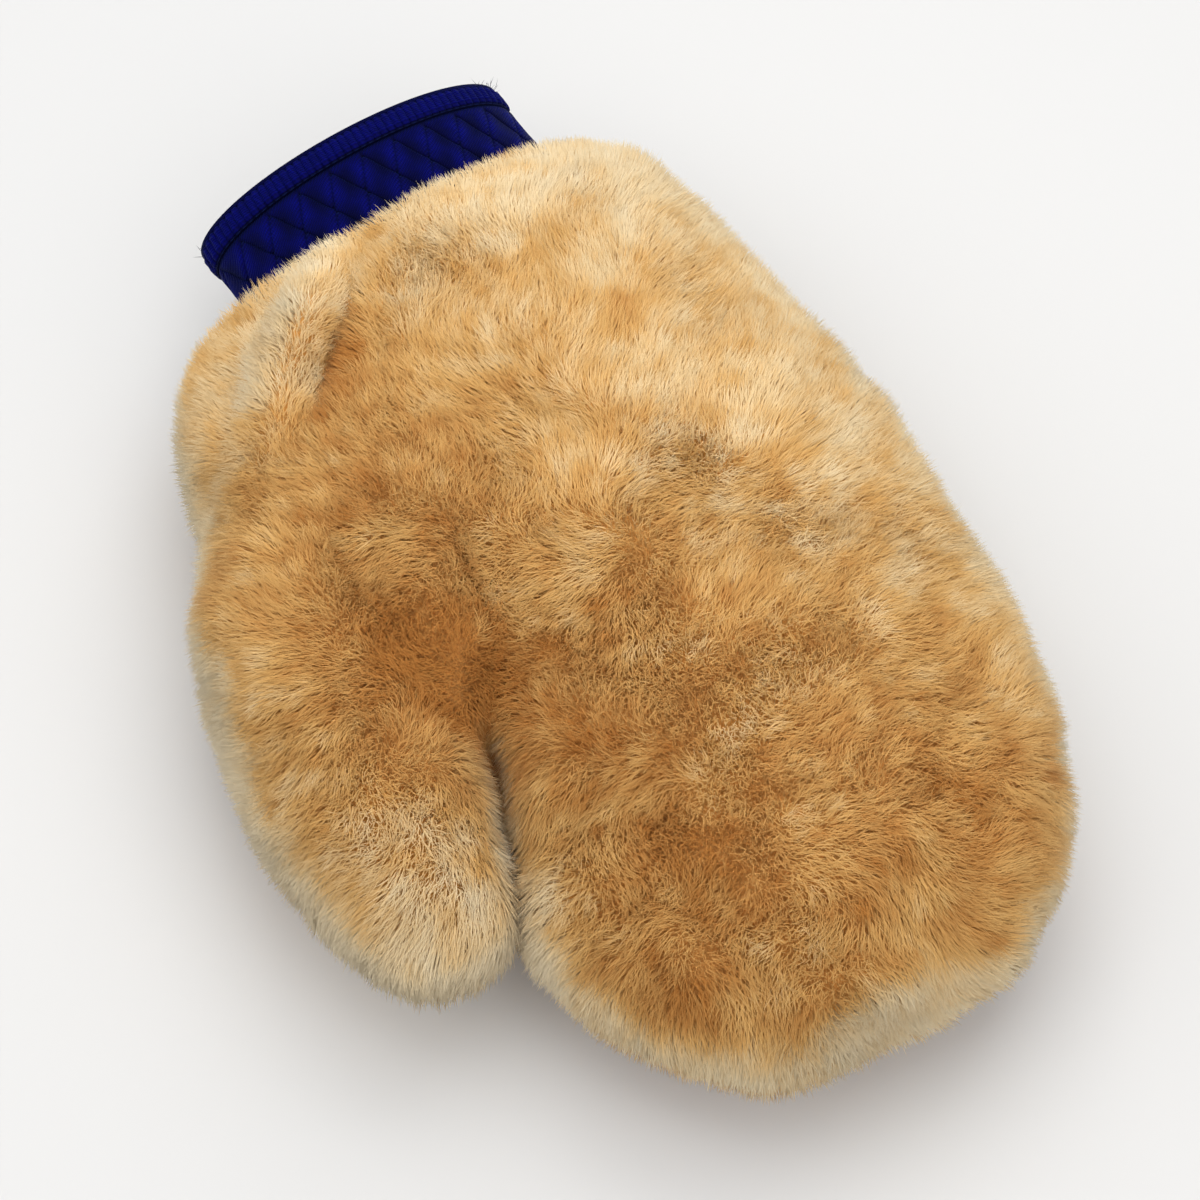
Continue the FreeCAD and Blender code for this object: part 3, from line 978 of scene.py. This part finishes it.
def lining(name, sections, mouth, mouth_way, section, nodes):
    """A hide sleeve: a drawn ball, cut off at its mouth, with a wall."""
    sleeve = drawn_ball(name, sections, PILE + HIDE_DEPTH)
    turn_wrist(sleeve)
    edit_all(sleeve)
    bpy.ops.mesh.normals_make_consistent(inside=False)
    bpy.ops.mesh.bisect(plane_co=mouth, plane_no=mouth_way, clear_outer=True, use_fill=False)
    stop_editing()
    bpy.ops.object.shade_smooth()
    add_wall(sleeve, HIDE_THICK)
    sleeve.data.materials.append(suede)
    carried(sleeve, section)
    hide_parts(*nodes)
    print(name, len(sleeve.data.polygons), "faces")


HIDES = [f"{side}_hide_{part}" for part in ("hand", "fingers") for side in ("back", "palm")]
lining("hand_lining", HAND, WRIST - OUT_OF_CUFF * 9 * MM, OUT_OF_CUFF, 1, HIDES)
THUMB_MOUTH = Vector((THUMB_FROM.x, -2 * MM, SEAM_HEIGHT))
lining(
    "thumb_lining", THUMB, THUMB_MOUTH, -THUMB_WAY, 2, ["back_hide_thumb", "palm_hide_thumb"]
)

# %% [markdown]
# ## The cuff
# The cuff is two lengths of woven elastic, back and palm, sewn together at the sides. A flat band of
# small squares, as a cloth grid, is wrapped half-way round the wrist's oval, its pattern is raised
# in the mesh, and Solidify gives it a wall. The fine twill between the raised lines is a bump that
# reads the band's own UV map, in which one unit is 100 mm, so the weave goes with the band.

# %% The cuff's measures
PLAIN = 30.0 * MM           # the plain band's height
RIB = 8.0 * MM              # the ribbed edge's height
BAND_WALL = 1.3 * MM
UV_UNIT = 100 * MM


def oval_steps(count, start, end):
    """Angles from start to end that are even along the oval, and how far along each one is."""
    fine = np.linspace(start, end, 2000)
    path = np.stack([CUFF_WIDTH * np.cos(fine), CUFF_HEIGHT * np.sin(fine)], axis=1)
    walked = np.concatenate([[0], np.cumsum(np.linalg.norm(np.diff(path, axis=0), axis=1))])
    at = np.linspace(0, walked[-1], count)
    return np.interp(at, walked, fine), at


def band(name, columns, lines, start, end, low, high, relief):
    """A grid wrapped round part of the cuff and raised by the relief, with a wall and a UV map."""
    deselect()
    bpy.ops.mesh.primitive_grid_add(x_subdivisions=columns, y_subdivisions=lines, size=2)
    piece = bpy.context.object
    piece.name = name
    flat = points_of(piece)
    angles, walked = oval_steps(columns + 1, start, end)
    column = np.rint((1 - flat[:, 0]) / 2 * columns).astype(int)
    share = (flat[:, 1] + 1) / 2
    along = low + (high - low) * share
    round_it = walked[column]
    rise = relief(round_it, along)
    set_points(piece, on_cuff(angles[column], along, rise))
    raised = piece.data.attributes.new("raised", "FLOAT", "POINT")
    lowest = max(rise.min(), -0.6 * MM)
    raised.data.foreach_set("value", np.clip((rise - lowest) / (rise.max() - lowest), 0, 1))
    corners = np.empty(len(piece.data.loops), dtype=np.int32)
    piece.data.loops.foreach_get("vertex_index", corners)
    uv = np.stack([round_it[corners], along[corners]], axis=1) / UV_UNIT
    piece.data.uv_layers[0].data.foreach_set("uv", uv.astype(np.float32).ravel())
    edit_all(piece)
    bpy.ops.mesh.flip_normals()
    stop_editing()
    add_wall(piece, BAND_WALL)
    bpy.ops.object.shade_smooth()
    return piece


# %% The woven materials
twill, twill_in, twill_out = new_group(
    "twill",
    [("Vector", "Vector", None), ("Threads", "Float", 110.0), ("Slant", "Float", 0.8)],
    [("Height", "Float")],
)
twill_parts = twill.nodes.new("ShaderNodeSeparateXYZ")
link(twill, twill_in["Vector"], twill_parts.inputs["Vector"])
slanted = math_node(twill, "MULTIPLY", twill_parts.outputs["X"], twill_in["Slant"])
slanted = math_node(twill, "ADD", slanted, twill_parts.outputs["Y"])
phase = math_node(twill, "MULTIPLY", slanted, twill_in["Threads"])
ridges = math_node(twill, "SINE", math_node(twill, "MULTIPLY", phase, 2 * math.pi), 0.0)
picks = math_node(twill, "MULTIPLY", twill_parts.outputs["X"], twill_in["Threads"])
beads = math_node(twill, "SINE", math_node(twill, "MULTIPLY", picks, 4 * math.pi), 0.0)
both = math_node(twill, "ADD", ridges, math_node(twill, "MULTIPLY", beads, 0.5))
link(twill, math_node(twill, "MULTIPLY", both, 0.5), twill_out["Height"])


def navy(name, colour, threads, slant, roughness, in_relief=True):
    """Navy thread, woven so finely, with lint and wear in its colour, and painted shade in its
    grooves.
    """
    made, tree, shader = new_material(
        name, roughness, sheen=0.08, sheen_tint=(0.1, 0.2, 1.0), specular=0.03
    )
    weave_map = tree.nodes.new("ShaderNodeUVMap").outputs["UV"]
    weave = place_group(tree, twill, vector=weave_map, threads=threads, slant=slant)
    worn = place_group(
        tree, uneven, vector=object_coords(tree), colour=(*colour, 1), size=330.0, depth=0.55
    )
    # Painted shade: the colour darkens between the twill's threads and, in relief, down in the raised
    # pattern's grooves.
    darker = tuple(value * 0.06 for value in colour)
    light = math_node(tree, "ADD", math_node(tree, "MULTIPLY", weave["Height"], 0.4), 0.7)
    if in_relief:
        raised = tree.nodes.new("ShaderNodeAttribute")
        raised.attribute_name = "raised"
        relief = math_node(tree, "POWER", raised.outputs["Fac"], 2.5)
        light = math_node(tree, "MULTIPLY", light, relief)
    link(tree, mix_node(tree, light, darker, worn["Colour"]), shader.inputs["Base Color"])
    bump_into(tree, shader, weave["Height"], 0.25 * MM, 0.7)
    return made


webbing = navy("navy_webbing", (0.0009, 0.0016, 0.13), 115.0, 0.8, 0.6)
ribbing = navy("navy_ribbing", (0.0009, 0.0016, 0.12), 150.0, 0.0, 0.6)
thread = navy("navy_thread", (0.002, 0.002, 0.03), 200.0, 1.0, 0.5, in_relief=False)

# %% The webbing, with its raised zigzag
ZIGZAG = 10.0 * MM
ZIGZAG_LOW, ZIGZAG_HIGH = 6.0 * MM, 28.5 * MM


def groove(distance, width):
    return np.exp(-((distance / width) ** 2))


def zigzag_relief(round_it, along):
    """Lozenges that stand proud between thin sunk lines, and an edge tucked under the ribs."""
    share = (along - ZIGZAG_LOW) / (ZIGZAG_HIGH - ZIGZAG_LOW)
    slope = ZIGZAG / (ZIGZAG_HIGH - ZIGZAG_LOW)
    sunk = np.zeros_like(along)
    for way in (1, -1):
        phase = (round_it / ZIGZAG + way * share) % 1
        distance = np.abs(phase - 0.5) * ZIGZAG / math.hypot(1, slope)
        sunk = np.maximum(sunk, groove(distance, 0.55 * MM))
    inside = ease((share + 0.02) / 0.05) * ease((1.02 - share) / 0.05)
    edge = groove(along - PLAIN + 0.5 * MM, 0.7 * MM) + groove(along - ZIGZAG_LOW, 0.7 * MM)
    puff = 0.22 * MM * np.sin(2 * math.pi * round_it / ZIGZAG) * np.sin(math.pi * share * 2)
    tuck = 1.4 * MM * ease((along - PLAIN + 0.3 * MM) / (0.8 * MM))
    return puff * inside - 0.5 * MM * sunk * inside - 0.45 * MM * np.minimum(edge, 1) - tuck


TUCKED = 2.5 * MM           # how far the webbing runs on under the ribs
SIDE = 0.001                # a sliver left between the two bands, in radians, for the side seam
CUFF_PARTS = (("back", SIDE, math.pi - SIDE), ("palm", math.pi + SIDE, 2 * math.pi - SIDE))
for side, start, end in CUFF_PARTS:
    piece = band(
        f"cuff_webbing_{side}_cloth", 300, 66, start, end, -2 * MM, PLAIN + TUCKED, zigzag_relief
    )
    piece.data.materials.append(webbing)
    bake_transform(piece)
    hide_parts(f"cuff_webbing_{side}")
    print(piece.name, len(piece.data.polygons), "faces")

# %% The ribbed edge: cords side by side, slightly slanted, between two flat selvedges
RIB_PITCH = 2.3 * MM


def rib_relief(round_it, along):
    share = (along - PLAIN) / RIB
    slanted = round_it + 0.9 * MM * share
    cords = np.cos(math.pi * slanted / RIB_PITCH) ** 2
    flat = ease((share - 0.10) / 0.12) * ease((0.86 - share) / 0.10)
    selvedge = 0.5 * MM * ease((share - 0.88) / 0.06)
    return 0.2 * MM + (1.2 * MM * cords - 0.5 * MM) * flat + selvedge - 0.3 * MM * (1 - flat)


for side, start, end in CUFF_PARTS:
    piece = band(f"cuff_ribs_{side}", 384, 16, start, end, PLAIN, PLAIN + RIB, rib_relief)
    piece.data.materials.append(ribbing)
    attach(piece, "cuff")
    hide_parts(f"cuff_ribbed_edge_{side}")
    print(piece.name, len(piece.data.polygons), "faces")

# %% [markdown]
# ### Threads
# The rim is bound with a dark cord of thread, the sides are sewn with zigzag stitches, and two rows
# of straight stitches hold the cuff to the hides. A stitch is a small drop of thread, modelled once
# and copied along its seam. A few ends have worked loose, as they do at a cut edge of elastic.

# %% The rim's binding
deselect()
bpy.ops.mesh.primitive_torus_add(
    major_segments=220, minor_segments=10, major_radius=1, minor_radius=0.1
)
rim = bpy.context.object
rim.name = "cuff_rim_binding"
round_rim = points_of(rim)
turn = np.arctan2(round_rim[:, 1], round_rim[:, 0])
out = (np.linalg.norm(round_rim[:, :2], axis=1) - 1) * 10
up = round_rim[:, 2] * 10
wobble = 0.12 * MM * np.sin(turn * 61) + 0.08 * MM * np.sin(turn * 97 + 1)
RIM_HALF = 0.95 * MM        # half the binding's thickness
rim_along = PLAIN + RIB - 0.5 * MM + up * RIM_HALF + wobble
set_points(rim, on_cuff(turn, rim_along, 0.35 * MM + out * RIM_HALF))
edit_all(rim)
bpy.ops.mesh.normals_make_consistent(inside=False)
stop_editing()
bpy.ops.object.shade_smooth()
binding = navy("black_binding", (0.002, 0.002, 0.004), 120.0, 0.0, 0.8, in_relief=False)
rim.data.materials.append(binding)
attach(rim, "cuff")
print(rim.name, len(rim.data.polygons), "faces")


# %% Stitches
def stitch_seam(name, ends, thickness):
    """Copies of one drop of thread, each laid from one place to the next, joined in one piece."""
    drops = []
    for start, end in ends:
        deselect()
        bpy.ops.mesh.primitive_uv_sphere_add(segments=8, ring_count=6, radius=1)
        drop = bpy.context.object
        way = Vector(end) - Vector(start)
        drop.scale = (thickness / 2, thickness / 2, way.length / 2)
        drop.rotation_euler = way.to_track_quat("Z", "Y").to_euler()
        drop.location = (Vector(start) + Vector(end)) / 2
        bpy.ops.object.transform_apply(location=True, rotation=True, scale=True)
        drops.append(drop)
    only(drops[0])
    for drop in drops:
        drop.select_set(True)
    bpy.ops.object.join()
    seam = bpy.context.object
    seam.name = name
    bpy.ops.object.shade_smooth()
    seam.data.materials.append(thread)
    print(name, len(ends), "stitches")
    return seam


SIDE_STITCHES = 13
for name, centre in (("little_finger_side", 0.0), ("thumb_side", math.pi)):
    places = []
    for count in range(SIDE_STITCHES + 1):
        swing = 0.16 if count % 2 else -0.16
        along = 3 * MM + (PLAIN - 5 * MM) * count / SIDE_STITCHES
        places.append(on_cuff(np.array(centre + swing), np.array(along), 0.25 * MM))
    seam = stitch_seam(f"cuff_side_zigzag_{name}", list(zip(places, places[1:])), 0.8 * MM)
    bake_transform(seam)
    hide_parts(f"cuff_stitches_{name}")

rows = []
ROW_STITCHES = 64
row_angles, _ = oval_steps(ROW_STITCHES * 2 + 1, 0, 2 * math.pi)
for along in (2.0 * MM, 7.0 * MM):
    for count in range(ROW_STITCHES):
        pair = row_angles[count * 2 : count * 2 + 2]
        rows.append(tuple(on_cuff(np.array(a), np.array(along), 0.3 * MM) for a in pair))
held = stitch_seam("cuff_sewing_rows", rows, 0.7 * MM)
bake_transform(held)
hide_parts("cuff_stitch_rows")

# %% Loose thread ends at the cuff's sides
LOOSE = 46
near_side = np.concatenate([0.16 + 0.30 * dice.random(34), math.pi - 0.05 + 0.1 * dice.random(12)])
loose_along = PLAIN + RIB * np.concatenate([0.5 + 0.6 * dice.random(34), 0.9 * dice.random(12)])
loose_foot = on_cuff(near_side, loose_along, 0.3 * MM)
curl = unit(dice.normal(size=(LOOSE, 3)) + np.array(ACROSS_CUFF) * 1.2 * np.sign(
    np.cos(near_side))[:, None] + np.array(OUT_OF_CUFF) * 1.5)
reach = (1.5 + 4.0 * dice.random(LOOSE))[:, None] * MM
loose_bend = loose_foot + curl * reach * 0.5 + dice.normal(size=(LOOSE, 3)) * 0.6 * MM
loose_tip = loose_foot + curl * reach
lint = spindles(
    "cuff_loose_threads", (loose_foot, loose_bend, loose_tip), 0.16 * MM, np.zeros(LOOSE), thread
)
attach(lint, "cuff")

# %% [markdown]
# ## The seams between the hides
# The overlocked seams and the bar tack at the crotch are the frame's own pieces, deep in the wool.
# They keep their place and get a material: pale thread, laid in small slanted ridges.

# %% The seam thread's material
seam_thread, tree, shader = new_material("seam_thread", 0.7, 0.2, (1.0, 1.0, 0.95), 0.3)
object_place = object_coords(tree)
overlock = place_group(tree, twill, vector=object_place, threads=900.0, slant=1.0)
faded = place_group(
    tree, uneven, vector=object_place, colour=(0.80, 0.73, 0.60, 1), size=500.0, depth=0.3
)
link(tree, faded["Colour"], shader.inputs["Base Color"])
bump_into(tree, shader, overlock["Height"], 0.3 * MM, 0.7)
for name, node in frame["nodes"].items():
    if name.startswith("seam_thread") or name == "crotch_bar_tack":
        node.data.materials.clear()
        node.data.materials.append(seam_thread)
        print("seam", name)
